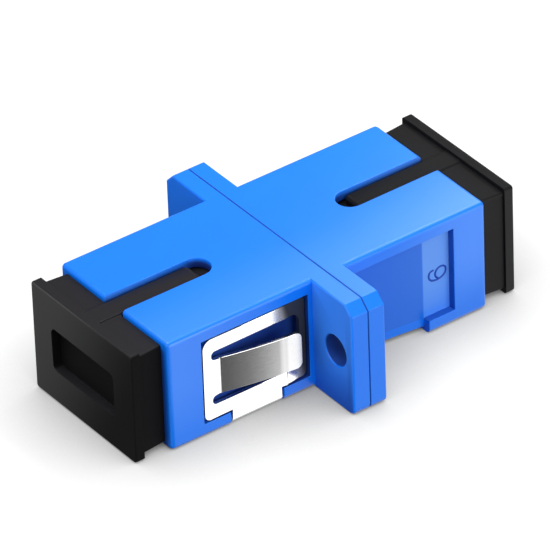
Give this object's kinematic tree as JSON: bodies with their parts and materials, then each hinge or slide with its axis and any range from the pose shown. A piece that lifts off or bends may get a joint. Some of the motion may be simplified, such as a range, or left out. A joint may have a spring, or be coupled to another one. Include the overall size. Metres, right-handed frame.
{
  "type": "fibre optic adapter",
  "caption": "Flanged square fibre optic adapter: welded housing halves round a floating split sleeve, a steel panel clip with spring tongues, and pull-off dust caps.",
  "frame": {"origin": "middle of the alignment sleeve, where the two fibre ends meet, in the plane between the two housing halves", "axes": "+X along the light path towards the rear mouth, +Z towards the keyways, the panel clip on the -X half"},
  "size_m": [0.0334, 0.022, 0.0092],
  "materials": {
    "housing_plastic": "satin moulded blue",
    "holder_plastic": "natural moulded, ivory",
    "sleeve_ceramic": "ground zirconia, white",
    "clip_steel": "bright rolled stainless strip",
    "cap_plastic": "soft satin black"
  },
  "bodies": {
    "adapter": {"front_housing": "housing_plastic", "rear_housing": "housing_plastic", "front_sleeve_holder": "holder_plastic", "rear_sleeve_holder": "holder_plastic", "alignment_sleeve": "sleeve_ceramic", "panel_clip": "clip_steel"},
    "front_cap": {"front_dust_cap": "cap_plastic"},
    "rear_cap": {"rear_dust_cap": "cap_plastic"}
  },
  "joints": [
    {"name": "front_cap_slide", "type": "slide", "parent": "adapter", "child": "front_cap", "axis": [-1, 0, 0], "range_m": [0, 0.014]},
    {"name": "rear_cap_slide", "type": "slide", "parent": "adapter", "child": "rear_cap", "axis": [1, 0, 0], "range_m": [0, 0.014]}
  ]
}
